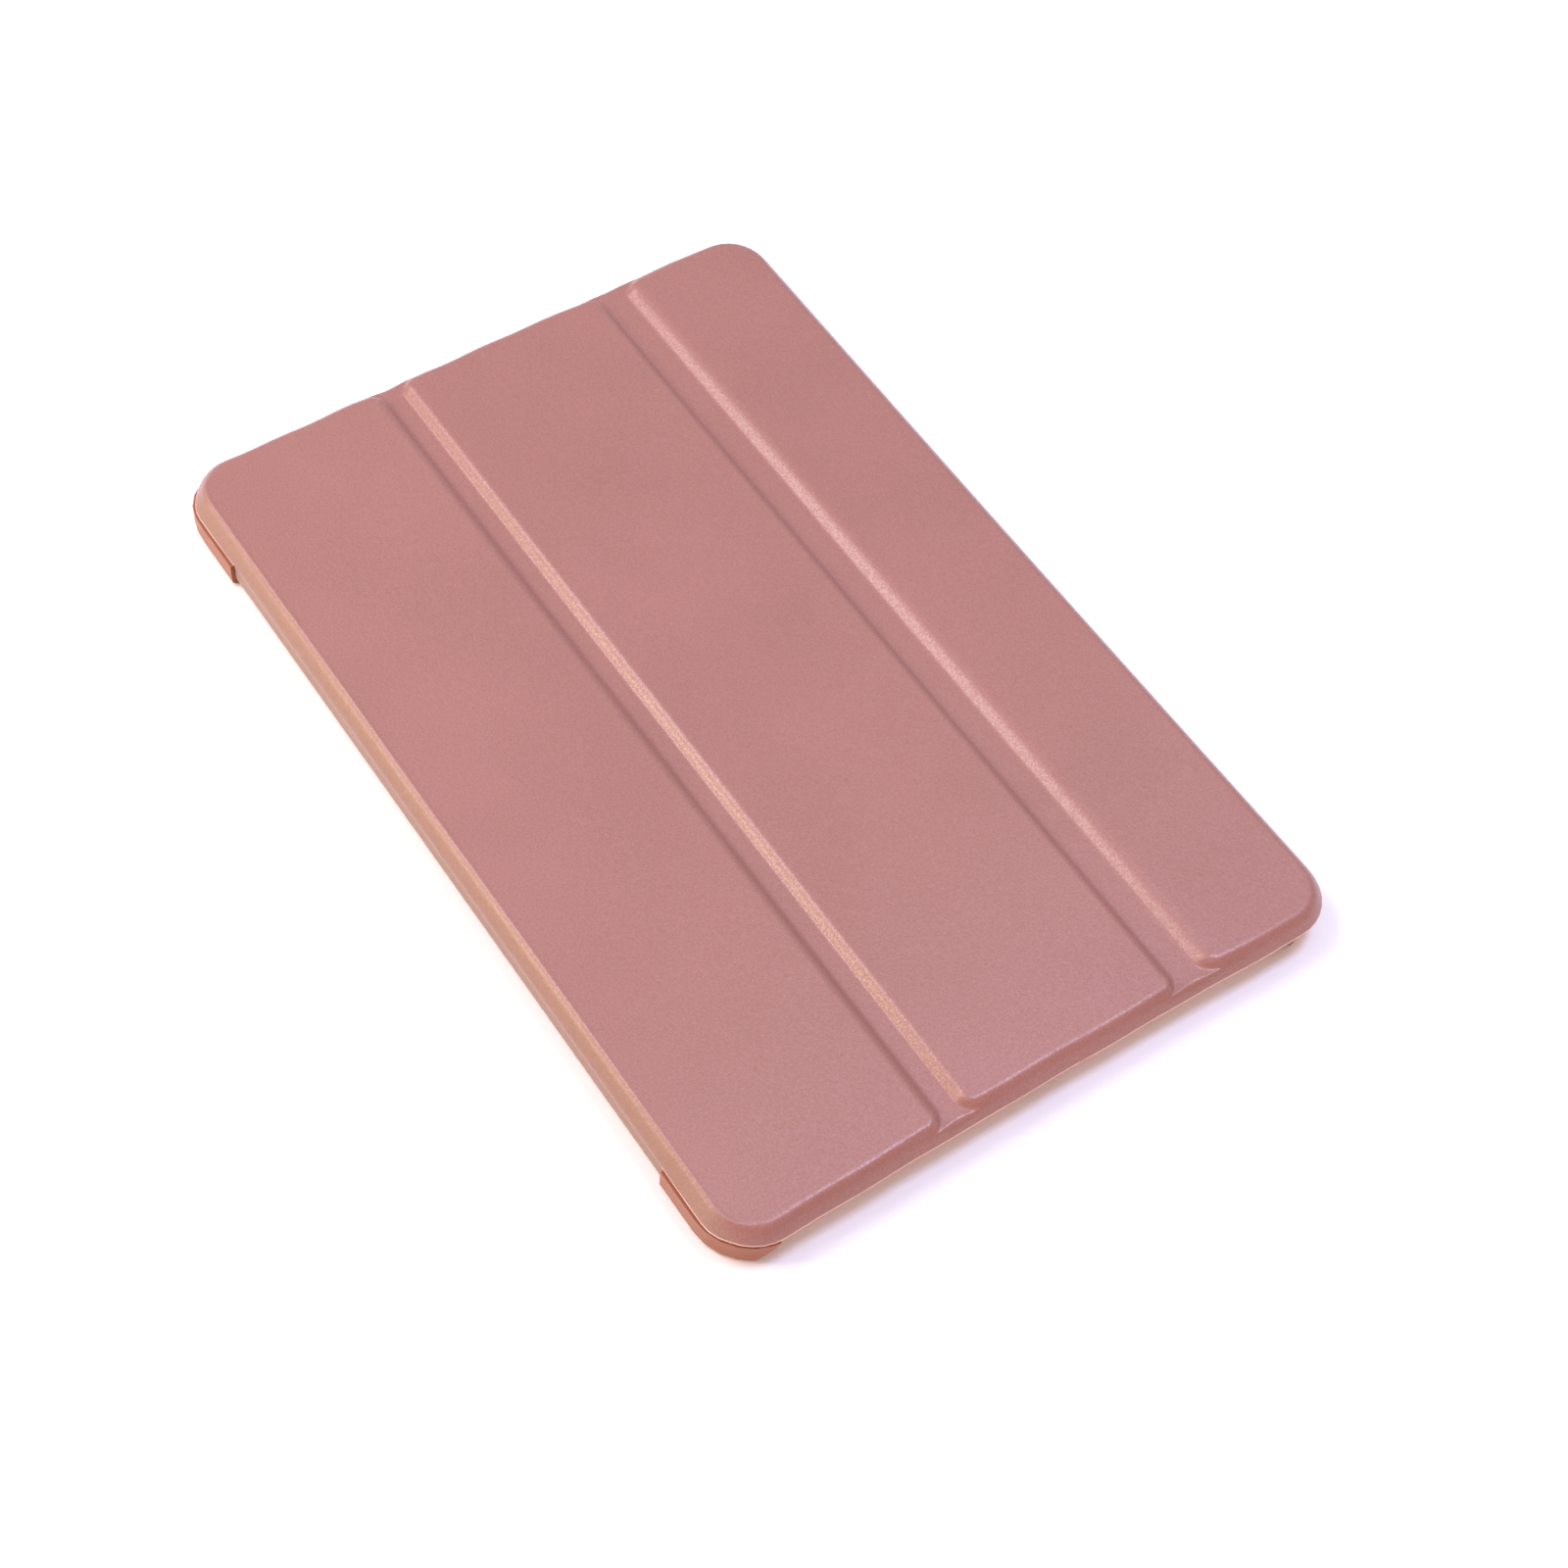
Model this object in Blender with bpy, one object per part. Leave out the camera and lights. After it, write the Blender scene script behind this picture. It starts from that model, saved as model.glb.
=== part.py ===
"""A small tablet computer closed inside its tri-fold folio case.

The case lies flat on its back: a moulded back shell with four corner guards holds the
tablet, and a padded leather cover of three panels closes over the glass. The cover hangs
on a leather spine along the -X side. Origin: middle of the case's underside. +Z is up,
-Y is the tablet's lower edge and +Y its upper edge. Sizes below are in millimetres, and
the mesh builders turn them into metres.
"""
from math import cos, pi, radians, sin

import bmesh
import bpy
from mathutils import Matrix, Vector

MM = 0.001

# Driving dimensions.
CASE_HALF_X = 70.0
CASE_HALF_Y = 104.5
CASE_TOP = 10.4
LIP_BOTTOM = 6.1
LIP_TOP = 6.7
LIP_RADIUS = 10.5
COVER_SPINE_X = -69.1
COVER_FREE_X = 70.6
COVER_WALL = 0.9
GROOVES = ((-22.7, -17.3), (31.2, 37.9))
GROOVE_FLOOR = 8.9
HINGE_GAP = 0.3
GAP = 0.3

# Back shell.
SHELL_PROUD = 0.15
SHELL_RADII = (12.3, 13.15)
SHELL_THICKNESS = 1.2
GUARD_TOP = 5.7
SHELL_EDGE_ROUND = 1.2
GUARD_END_NEAR_Y = -81.3
GUARD_END_FAR_Y = 80.3
GUARD_END_LEFT_X = -59.4
GUARD_END_RIGHT_X = 55.5
GUARD_END_SLANT = 5.0
GUARD_SET_BACK = 0.9
FAR_GUARD_PROUD = 0.9
FAR_GUARD_PROUD_Y = (94.0, 100.0)
SHELL_SPINE_EDGE_X = -68.4
PLATE_HALF_Y = 101.1
PLATE_RIGHT_X = 66.4
CAMERA_WINDOW_RADIUS = 6.2

# Spine and its two living hinges.
SPINE_X = -70.0
SPINE_BACK_HINGE_Z = 0.6
SPINE_FRONT_HINGE_Z = 5.95
SPINE_Y = (GUARD_END_NEAR_Y + 0.4, GUARD_END_FAR_Y - 0.4)

# Tablet.
TABLET_HALF_X = 67.4
TABLET_HALF_Y = 101.6
TABLET_BOTTOM = SHELL_THICKNESS + GAP
TABLET_THICKNESS = 6.1
TABLET_TOP = TABLET_BOTTOM + TABLET_THICKNESS
TABLET_RADIUS = 11.0
TABLET_RADII = (TABLET_RADIUS, TABLET_RADIUS)
TABLET_EDGE_ROUND = 2.4
HOUSING_WALL = 0.9
HOUSING_FLOOR = TABLET_BOTTOM + 0.8
HOUSING_RIM = TABLET_TOP - 0.3
GLASS_THICKNESS = 0.7
LINING_TOP = TABLET_TOP + GAP + 0.3
SHIELD_BOTTOM = 4.6
SHIELD_THICKNESS = 0.3
SHIELD_HALF = (62.0, 84.0)
BOARD_BOTTOM = 2.9
BOARD_THICKNESS = 0.6
BRACKET_BOTTOM = 4.9
HOME_Y = -91.2
HOME_RADIUS = 5.4
SIDE_BUTTON_Z = 4.6
CAMERA_XY = (54.5, 90.0)
JACK_XZ = (-52.0, 4.35)
PORT_Z = 4.1

# Screws: the boss they enter, and the clearance hole that they pass through.
BOSS_RADIUS = 1.5
BOSS_BORE = 0.8
SCREW_HOLE = 0.9
SHIELD_SCREWS = [(x, y) for x in (-58.5, 58.5) for y in (-82.3, 82.3)]
BOARD_SCREWS = [(41.0, -36.0), (59.0, 20.0), (41.0, 72.0)]
BRACKET_SCREWS = [(-9.5, -90.3), (9.5, -90.3)]

# Facets in a quarter turn, for large outlines and for small blocks.
CORNER_STEPS = 6
BLOCK_STEPS = 2


# ---------------------------------------------------------------- materials

def material(name, colour, roughness, metallic=0.0):
    """A Principled BSDF material; colour is linear RGB."""
    made = bpy.data.materials.new(name)
    made.use_nodes = True
    shader = made.node_tree.nodes["Principled BSDF"]
    shader.inputs["Base Color"].default_value = (*colour, 1.0)
    shader.inputs["Roughness"].default_value = roughness
    shader.inputs["Metallic"].default_value = metallic
    made.diffuse_color = (*colour, 1.0)
    return made


def make_materials():
    """Every material of the object, by slot name."""
    return {
        "cover_leather": material("cover_leather", (0.51, 0.24, 0.22), 0.45, 0.1),
        "lining": material("lining", (0.50, 0.30, 0.27), 0.9),
        "greyboard": material("greyboard", (0.35, 0.33, 0.30), 0.9),
        "shell_plastic": material("shell_plastic", (0.60, 0.27, 0.18), 0.4),
        "aluminium": material("aluminium", (0.66, 0.56, 0.52), 0.35, 1.0),
        "glass": material("glass", (0.01, 0.01, 0.012), 0.05),
        "display": material("display", (0.02, 0.02, 0.03), 0.3),
        "steel": material("steel", (0.55, 0.55, 0.56), 0.3, 1.0),
        "circuit_board": material("circuit_board", (0.01, 0.06, 0.03), 0.5),
        "black_plastic": material("black_plastic", (0.02, 0.02, 0.02), 0.5),
        "battery_wrap": material("battery_wrap", (0.03, 0.03, 0.035), 0.4),
        "flex_film": material("flex_film", (0.35, 0.16, 0.03), 0.4),
        "rubber": material("rubber", (0.03, 0.03, 0.03), 0.8),
        "magnet": material("magnet", (0.50, 0.50, 0.50), 0.25, 1.0),
        "button_white": material("button_white", (0.75, 0.73, 0.72), 0.3),
    }


# ---------------------------------------------------------------- mesh builders

def rounded_ring(x_range, y_range, radii, z, steps=CORNER_STEPS):
    """A rectangle with rounded corners at height z, counter-clockwise seen from above.

    radii holds the corner radius at the low-x end and at the high-x end.
    """
    (x0, x1), (y0, y1), (left, right) = x_range, y_range, radii
    corners = (
        (x1 - right, y1 - right, right, 0.0),
        (x0 + left, y1 - left, left, 0.5 * pi),
        (x0 + left, y0 + left, left, pi),
        (x1 - right, y0 + right, right, 1.5 * pi),
    )
    points = []
    for cx, cy, radius, start in corners:
        for step in range(steps + 1):
            angle = start + 0.5 * pi * step / steps
            points.append((cx + radius * cos(angle), cy + radius * sin(angle), z))
    return points


def loft(rings):
    """A closed body through rings with the same number of points, lowest ring first."""
    bm = bmesh.new()
    loops = [[bm.verts.new(Vector(point) * MM) for point in ring] for ring in rings]
    bm.faces.new(reversed(loops[0]))
    for lower, upper in zip(loops, loops[1:]):
        for index, vert in enumerate(lower):
            after = (index + 1) % len(lower)
            bm.faces.new((vert, lower[after], upper[after], upper[index]))
    bm.faces.new(loops[-1])
    return bm


def block(size_x, size_y, height, radius=0.5, steps=BLOCK_STEPS):
    """An upright block with rounded corners, standing on its local origin."""
    half_x, half_y = size_x / 2, size_y / 2
    return loft([
        rounded_ring((-half_x, half_x), (-half_y, half_y), (radius, radius), z, steps)
        for z in (0.0, height)
    ])


def turned(profile, segments=16):
    """A turned body about local Z; the profile lists (radius, z) from bottom to top."""
    return loft([
        [
            (radius * cos(2 * pi * k / segments), radius * sin(2 * pi * k / segments), z)
            for k in range(segments)
        ]
        for radius, z in profile
    ])


def plain_box(low, high):
    """A box between two corners."""
    bm = bmesh.new()
    size = Vector(high) - Vector(low)
    middle = (Vector(high) + Vector(low)) / 2
    shape = Matrix.Translation(middle * MM) @ Matrix.Diagonal((*(size * MM), 1.0))
    bmesh.ops.create_cube(bm, size=1.0, matrix=shape)
    return bm


def extruded(profile_yz, width):
    """A counter-clockwise outline in the YZ plane, extruded along X about x = 0."""
    bm = bmesh.new()
    face = bm.faces.new([bm.verts.new(Vector((-width / 2, y, z)) * MM) for y, z in profile_yz])
    pushed = bmesh.ops.extrude_face_region(bm, geom=[face])["geom"]
    verts = [item for item in pushed if isinstance(item, bmesh.types.BMVert)]
    bmesh.ops.translate(bm, verts=verts, vec=Vector((width, 0, 0)) * MM)
    bmesh.ops.recalc_face_normals(bm, faces=bm.faces)
    return bm


# ---------------------------------------------------------------- objects

def pivot(name, at, parent=None):
    """An empty at a point of the case, for the pieces of one moving body."""
    empty = bpy.data.objects.new(name, None)
    empty.empty_display_size = 5 * MM
    bpy.context.collection.objects.link(empty)
    offset = Vector(at)
    if parent:
        empty.parent = parent
        offset = offset - Vector(parent["at"])
    empty.location = offset * MM
    empty["at"] = at
    return empty


def place(name, bm, slot, body, at=(0, 0, 0), turn=(0, 0, 0)):
    """Put a mesh on a body as a named object, with its origin at a point of the case."""
    mesh = bpy.data.meshes.new(name)
    bm.to_mesh(mesh)
    bm.free()
    mesh.shade_smooth()
    mesh.set_sharp_from_angle(angle=radians(35))
    if slot:
        mesh.materials.append(slot)
    piece = bpy.data.objects.new(name, mesh)
    bpy.context.collection.objects.link(piece)
    piece.parent = body
    piece.location = (Vector(at) - Vector(body["at"])) * MM
    piece.rotation_euler = [radians(angle) for angle in turn]
    return piece


def carve(piece, name, bm, body, at=(0, 0, 0), turn=(0, 0, 0), operation="DIFFERENCE"):
    """Cut a hidden body out of a piece, or join it on."""
    cutter = place(name, bm, None, body, at, turn)
    cutter.hide_render = True
    cutter.display_type = "WIRE"
    modifier = piece.modifiers.new(name, "BOOLEAN")
    modifier.operation = operation
    modifier.object = cutter


# ---------------------------------------------------------------- case, back half

def shell_rings(inset, round_radius, low_z, high_z, half_x, half_y, radii):
    """Rings of a tray body whose bottom edge is a quarter round. radii is (low-x, high-x)."""
    steps = 4
    rings = []
    for step in range(steps + 1):
        angle = 0.5 * pi * step / steps
        back = inset + round_radius * (1 - sin(angle))
        z = low_z + round_radius * (1 - cos(angle))
        rings.append((back, z))
    rings.append((inset, high_z))
    low_r, high_r = radii
    return [
        rounded_ring((-half_x + d, half_x - d), (-half_y + d, half_y - d), (low_r - d, high_r - d), z)
        for d, z in rings
    ]


def guard_outline(ring):
    """Set the guards back towards the free end, and let the far left one stand out."""
    points = []
    for x, y, z in ring:
        towards_free = min(max(0.5 + x / CASE_HALF_X, 0.0), 1.0)
        start, full = FAR_GUARD_PROUD_Y
        towards_corner = min(max((y - start) / (full - start), 0.0), 1.0) * max(-x / CASE_HALF_X, 0.0)
        moved_x = x - FAR_GUARD_PROUD * towards_corner
        moved_y = y * (1 - towards_free * GUARD_SET_BACK / CASE_HALF_Y)
        points.append((moved_x, moved_y, z))
    return points


def make_back_shell(slots, root):
    """Moulded back plate with four corner guards, open along the edges between them."""
    half_x, half_y = CASE_HALF_X + SHELL_PROUD, CASE_HALF_Y + SHELL_PROUD
    outer = shell_rings(0.0, SHELL_EDGE_ROUND, 0.0, GUARD_TOP, half_x, half_y, SHELL_RADII)
    body = loft([guard_outline(ring) for ring in outer])
    shell = place("case_back_shell", body, slots["shell_plastic"], root)

    room = shell_rings(
        -GAP, TABLET_EDGE_ROUND, SHELL_THICKNESS, GUARD_TOP + 2,
        TABLET_HALF_X, TABLET_HALF_Y, TABLET_RADII,
    )
    carve(shell, "cut_tablet_room", loft(room), root)

    past, high = 80.0, GUARD_TOP + 3
    left = plain_box((-past, GUARD_END_NEAR_Y, SHELL_THICKNESS), (-64.5, GUARD_END_FAR_Y, high))
    right = plain_box((PLATE_RIGHT_X, GUARD_END_NEAR_Y, -1), (past, GUARD_END_FAR_Y, high))
    carve(shell, "cut_spine_side", left, root)
    carve(shell, "cut_free_side", right, root)
    for name, side in (("near", -1), ("far", 1)):
        edges = sorted((side * PLATE_HALF_Y, side * (half_y + 5)))
        box = plain_box((GUARD_END_LEFT_X, edges[0], -1), (GUARD_END_RIGHT_X, edges[1], high))
        for vert in box.verts:
            outwards = 1 if vert.co.x > 0 else -1
            vert.co.x += outwards * GUARD_END_SLANT * (MM - vert.co.z / GUARD_TOP)
        carve(shell, f"cut_{name}_side", box, root)

    window = turned([(CAMERA_WINDOW_RADIUS, -1), (CAMERA_WINDOW_RADIUS, 2)], 24)
    carve(shell, "cut_camera_window", window, root, (*CAMERA_XY, 0))
    recess = plain_box((-75, SPINE_Y[0] - 0.2, -1), (-51.7, SPINE_Y[1] + 0.2, 0.7))
    carve(shell, "cut_flap_recess", recess, root)
    edge = plain_box((-past, GUARD_END_NEAR_Y, -1), (SHELL_SPINE_EDGE_X, GUARD_END_FAR_Y, high))
    carve(shell, "cut_spine_edge", edge, root)


def make_back_flap(slots, root):
    """Leather flap glued into the recess under the spine side of the shell."""
    length = SPINE_Y[1] - SPINE_Y[0] - 0.2
    flap = block(16.8, length, 0.45, 0.8)
    middle_y = (SPINE_Y[0] + SPINE_Y[1]) / 2
    place("back_leather_flap", flap, slots["cover_leather"], root, (-60.4, middle_y, 0))


# ---------------------------------------------------------------- case, cover

def cover_ring(z, inset, spine_inset, x_low, x_high, radii):
    """One level of the cover; None as an end means the case's own outer edge there."""
    half_y = CASE_HALF_Y - inset
    left, right = radii
    if x_low is None:
        x_low = COVER_SPINE_X + spine_inset
        left = LIP_RADIUS - inset
    if x_high is None:
        x_high = COVER_FREE_X - inset
        right = LIP_RADIUS - inset
    return rounded_ring((x_low, x_high), (-half_y, half_y), (left, right), z)


def skin_levels():
    """(z, inset, spine inset, inset at a groove) up the outside of a padded panel."""
    return (
        (LIP_BOTTOM, 0.0, 0.0, 0.0),
        (LIP_TOP, 0.0, 0.0, 0.0),
        (LIP_TOP + 3.0, 3.0, 0.5, 0.0),
        (CASE_TOP - 0.2, 3.6, 1.0, 0.3),
        (CASE_TOP, 4.4, 1.9, 1.0),
    )


def make_panel(slots, body, number, x_low, x_high):
    """One padded panel: leather skin, stiffener board and lining, each its own piece."""
    def ends(inset):
        low = None if x_low is None else x_low + inset
        high = None if x_high is None else x_high - inset
        return low, high

    outer = [
        cover_ring(z, inset, spine, *ends(groove), (0.4 + inset * 0.6, 0.4 + inset * 0.6))
        for z, inset, spine, groove in skin_levels()
    ]
    skin = place(f"panel_{number}_leather", loft(outer), slots["cover_leather"], body)

    slope = COVER_WALL * 2 ** 0.5
    ceiling = CASE_TOP - COVER_WALL
    floor = LINING_TOP + 0.2
    under = [
        cover_ring(z, inset, spine, *ends(-5.0), (0.5, 0.5))
        for z, inset, spine in (
            (LIP_BOTTOM - 1, COVER_WALL, 0.8),
            (LIP_TOP - 0.4, COVER_WALL, 0.8),
            (floor, floor - LIP_TOP + slope, 0.9),
        )
    ]
    carve(skin, f"cut_under_{number}", loft(under), body)
    pocket = [
        cover_ring(z, z - LIP_TOP + slope + GAP, spine, *ends(COVER_WALL), (0.5, 0.5))
        for z, spine in ((floor - 0.5, 1.1), (ceiling, 1.7))
    ]
    carve(skin, f"cut_pocket_{number}", loft(pocket), body)

    board = [
        cover_ring(z, 4.6, 2.0, *ends(COVER_WALL + GAP), (0.8, 0.8))
        for z in (8.5, 9.3)
    ]
    stiffener = place(f"panel_{number}_board", loft(board), slots["greyboard"], body)
    lining = [
        cover_ring(z, 3.2, 1.2, *ends(0.0), (0.8, 0.8))
        for z in (TABLET_TOP + GAP, LINING_TOP)
    ]
    place(f"panel_{number}_lining", loft(lining), slots["lining"], body)
    return stiffener


def make_groove_strip(slots, body, number, edges):
    """The thin leather band between two panels, running out over the rim at both ends."""
    x_low, x_high = edges[0] + HINGE_GAP, edges[1] - HINGE_GAP
    outer = [
        cover_ring(z, inset, 0, x_low, x_high, (0.3, 0.3))
        for z, inset in (
            (LIP_BOTTOM, 0.0),
            (LIP_TOP, 0.0),
            (GROOVE_FLOOR - 0.2, GROOVE_FLOOR - 0.2 - LIP_TOP),
            (GROOVE_FLOOR, GROOVE_FLOOR - LIP_TOP + 0.2),
        )
    ]
    strip = place(f"groove_{number}_strip", loft(outer), slots["cover_leather"], body)
    slope = COVER_WALL * 2 ** 0.5
    floor = GROOVE_FLOOR - COVER_WALL
    under = [
        cover_ring(z, inset, 0, x_low - 2, x_high + 2, (0.5, 0.5))
        for z, inset in (
            (LIP_BOTTOM - 1, COVER_WALL),
            (LIP_TOP - 0.4, COVER_WALL),
            (floor, floor - LIP_TOP + slope),
        )
    ]
    carve(strip, f"cut_strip_{number}", loft(under), body)


def make_spine(slots, body):
    """Leather spine with its lining, standing between the two left corner guards."""
    length = SPINE_Y[1] - SPINE_Y[0]
    middle = (SPINE_Y[0] + SPINE_Y[1]) / 2
    low, high = 1.5, SPINE_FRONT_HINGE_Z - 0.15
    skin = block(COVER_WALL, length, high - low, 0.3)
    place("spine_leather", skin, slots["cover_leather"], body,
          (SPINE_X + COVER_WALL / 2, middle, low))
    inner = block(0.4, length - 2, high - low - 0.4, 0.1)
    place("spine_lining", inner, slots["lining"], body,
          (SPINE_X + COVER_WALL + 0.4, middle, low + 0.2))


def make_magnets(slots, body, board):
    """Four closing magnets let into the free panel's board."""
    for number, y in enumerate((-66.0, -24.0, 24.0, 66.0), start=1):
        at = (60.5, y, 8.55)
        place(f"panel_3_magnet_{number}", block(5.0, 12.0, 0.7, 0.4), slots["magnet"], body, at)
        room = block(5.6, 12.6, 3.0, 0.7)
        carve(board, f"cut_magnet_{number}", room, body, (at[0], y, 7.5))


def make_cover(slots, root):
    """The spine, three panels and two grooves, each hung on the axis that it turns on."""
    spine = pivot("spine_pivot", (SPINE_X, 0, SPINE_BACK_HINGE_Z), root)
    make_spine(slots, spine)
    body = pivot("panel_1_pivot", (SPINE_X, 0, SPINE_FRONT_HINGE_Z), spine)
    x_low = None
    for number, (start, end) in enumerate(GROOVES, start=1):
        make_panel(slots, body, number, x_low, start - HINGE_GAP)
        body = pivot(f"groove_{number}_pivot", (start, 0, GROOVE_FLOOR), body)
        make_groove_strip(slots, body, number, (start, end))
        body = pivot(f"panel_{number + 1}_pivot", (end, 0, GROOVE_FLOOR), body)
        x_low = end + HINGE_GAP
    board = make_panel(slots, body, len(GROOVES) + 1, x_low, None)
    make_magnets(slots, body, board)


# ---------------------------------------------------------------- tablet

def make_housing(slots, root):
    """Aluminium back housing: an open tub with bosses, and holes for ports and buttons."""
    outer = shell_rings(
        0.0, TABLET_EDGE_ROUND, TABLET_BOTTOM, HOUSING_RIM,
        TABLET_HALF_X, TABLET_HALF_Y, TABLET_RADII,
    )
    tub = place("rear_housing", loft(outer), slots["aluminium"], root)
    room = shell_rings(
        HOUSING_WALL, TABLET_EDGE_ROUND - HOUSING_WALL, HOUSING_FLOOR, HOUSING_RIM + 1,
        TABLET_HALF_X, TABLET_HALF_Y, TABLET_RADII,
    )
    carve(tub, "cut_housing_room", loft(room), root)

    boss_tops = (
        [(spot, SHIELD_BOTTOM - 0.2) for spot in SHIELD_SCREWS]
        + [(spot, BOARD_BOTTOM - 0.2) for spot in BOARD_SCREWS]
        + [(spot, BRACKET_BOTTOM - 0.2) for spot in BRACKET_SCREWS]
    )
    for number, ((x, y), top) in enumerate(boss_tops, start=1):
        boss = turned([(BOSS_RADIUS, HOUSING_FLOOR - 0.3), (BOSS_RADIUS, top)], 12)
        carve(tub, f"join_boss_{number}", boss, root, (x, y, 0), operation="UNION")
        bore = turned([(BOSS_BORE, HOUSING_FLOOR + 0.1), (BOSS_BORE, top + 1)], 10)
        carve(tub, f"cut_boss_{number}", bore, root, (x, y, 0))

    lens = turned([(3.7, 0), (3.7, 3)], 20)
    carve(tub, "cut_lens_hole", lens, root, (*CAMERA_XY, 0.5))
    slot = block(8.4, 2.0, 4.0, 0.9)
    carve(tub, "cut_port_slot", slot, root, (0, -TABLET_HALF_Y + 2, PORT_Z), (90, 0, 0))
    jack = turned([(1.8, 0), (1.8, 4)], 16)
    carve(tub, "cut_jack_hole", jack, root, (JACK_XZ[0], TABLET_HALF_Y - 2, JACK_XZ[1]), (-90, 0, 0))
    sound = [(side * (34 + 5 * k), -1) for side in (-1, 1) for k in range(4)] + [(-20.0, 1)]
    for number, (x, side) in enumerate(sound, start=1):
        hole = turned([(0.6, 0), (0.6, 4)], 8)
        start = side * (TABLET_HALF_Y - 2)
        carve(tub, f"cut_sound_{number}", hole, root, (x, start, PORT_Z), (-90 * side, 0, 0))


def make_glass_and_display(slots, root):
    """Front glass, its gasket, the display and the steel plate behind it."""
    inset = HOUSING_WALL + GAP
    half_x, half_y = TABLET_HALF_X - inset, TABLET_HALF_Y - inset
    radius = TABLET_RADIUS - inset
    bottom = TABLET_TOP - GLASS_THICKNESS
    rings = [
        rounded_ring((back - half_x, half_x - back), (back - half_y, half_y - back),
                     (radius - back, radius - back), z)
        for back, z in ((0.0, bottom), (0.0, TABLET_TOP - 0.2), (0.2, TABLET_TOP))
    ]
    glass = place("front_glass", loft(rings), slots["glass"], root)
    hole = turned([(HOME_RADIUS + 0.3, 0), (HOME_RADIUS + 0.3, 3)], 28)
    carve(glass, "cut_home_hole", hole, root, (0, HOME_Y, bottom - 1))

    outer = block(2 * half_x - 0.6, 2 * half_y - 0.6, 0.4, radius - 0.3, CORNER_STEPS)
    gasket = place("glass_gasket", outer, slots["rubber"], root, (0, 0, bottom - 0.6))
    inner = block(2 * half_x - 5.0, 2 * half_y - 5.0, 2.0, radius - 2.5, CORNER_STEPS)
    carve(gasket, "cut_gasket_room", inner, root, (0, 0, bottom - 1.4))

    place("display_panel", block(120.8, 161.0, 1.6, 0.8), slots["display"], root, (0, 0, 5.1))
    plate = block(2 * SHIELD_HALF[0], 2 * SHIELD_HALF[1], SHIELD_THICKNESS, 1.5)
    shield = place("display_shield_plate", plate, slots["steel"], root, (0, 0, SHIELD_BOTTOM))
    for number, (x, y) in enumerate(SHIELD_SCREWS, start=1):
        hole = turned([(SCREW_HOLE, 0), (SCREW_HOLE, 2)], 12)
        carve(shield, f"cut_shield_hole_{number}", hole, root, (x, y, SHIELD_BOTTOM - 1))


def make_electronics(slots, root):
    """Battery cells, logic board, chips and ribbon cables inside the housing."""
    cell = (46.0, 152.0, 1.7, 2.0)
    place("battery_cell_left", block(*cell), slots["battery_wrap"], root, (-38.0, 0, 2.6))
    place("battery_cell_right", block(*cell), slots["battery_wrap"], root, (11.0, 0, 2.6))
    place("battery_flex_cable", block(66.0, 3.5, 0.3, 0.6), slots["flex_film"], root,
          (4.0, 79.2, 3.0))

    board = place("logic_board", block(24.0, 120.0, BOARD_THICKNESS, 1.2),
                  slots["circuit_board"], root, (50.0, 18.0, BOARD_BOTTOM))
    for number, (x, y) in enumerate(BOARD_SCREWS, start=1):
        hole = turned([(SCREW_HOLE, 0), (SCREW_HOLE, 3)], 12)
        carve(board, f"cut_board_hole_{number}", hole, root, (x, y, BOARD_BOTTOM - 1))
    chips_z = BOARD_BOTTOM + BOARD_THICKNESS + 0.1
    place("processor_shield", block(16.0, 18.0, 0.7, 0.8), slots["steel"], root,
          (50.0, 40.0, chips_z))
    place("memory_chip", block(12.0, 14.0, 0.6, 0.3), slots["black_plastic"], root,
          (50.0, 2.0, chips_z))

    low, high, back, thick = 4.0, 5.7, -85.0, 0.2
    ribbon = [
        (-40.0, low), (-40.0, low + thick), (back + thick, low + thick),
        (back + thick, high), (-80.9, high), (-80.9, high + thick),
        (back, high + thick), (back, low),
    ]
    place("display_flex_cable", extruded(ribbon, 9.0), slots["flex_film"], root, (52.0, 0, 0))
    place("antenna_module", block(12.0, 5.0, 0.8, 0.4), slots["black_plastic"], root,
          (-34.0, 94.0, 2.7))
    place("microphone", block(3.0, 2.0, 1.2, 0.2), slots["steel"], root, (-20.0, 99.2, 3.5))


def make_cameras(slots, root):
    """Rear camera with its lens window, and the front camera under the glass."""
    place("rear_camera_module", block(8.5, 8.5, 3.0, 0.8), slots["black_plastic"], root,
          (*CAMERA_XY, 2.6))
    place("rear_camera_lens", turned([(3.2, 0), (3.4, 0.2), (3.4, 0.6)], 20), slots["glass"],
          root, (*CAMERA_XY, TABLET_BOTTOM + 0.1))
    place("front_camera", block(6.0, 6.0, 1.6, 0.5), slots["black_plastic"], root, (0, 92.0, 5.1))


def make_ports(slots, root):
    """Speakers, charging port and headphone jack behind the edges of the housing."""
    for name, side in (("left", -1), ("right", 1)):
        box = block(26.0, 11.0, 2.8, 1.0)
        place(f"speaker_{name}", box, slots["black_plastic"], root, (side * 41.5, -93.8, 2.6))

    port = place("charging_port", block(9.2, 2.8, 5.2, 1.2), slots["steel"], root,
                 (0, -94.6, PORT_Z), (90, 0, 0))
    socket = block(7.6, 1.4, 6.0, 0.6)
    carve(port, "cut_port_socket", socket, root, (0, -95.6, PORT_Z), (90, 0, 0))

    jack_x, jack_z = JACK_XZ
    jack = place("headphone_jack", block(6.0, 3.7, 12.4, 0.5), slots["black_plastic"], root,
                 (jack_x, 87.4, jack_z), (-90, 0, 0))
    bore = turned([(1.65, 0), (1.65, 12)], 16)
    carve(jack, "cut_jack_bore", bore, root, (jack_x, 88.9, jack_z), (-90, 0, 0))


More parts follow.
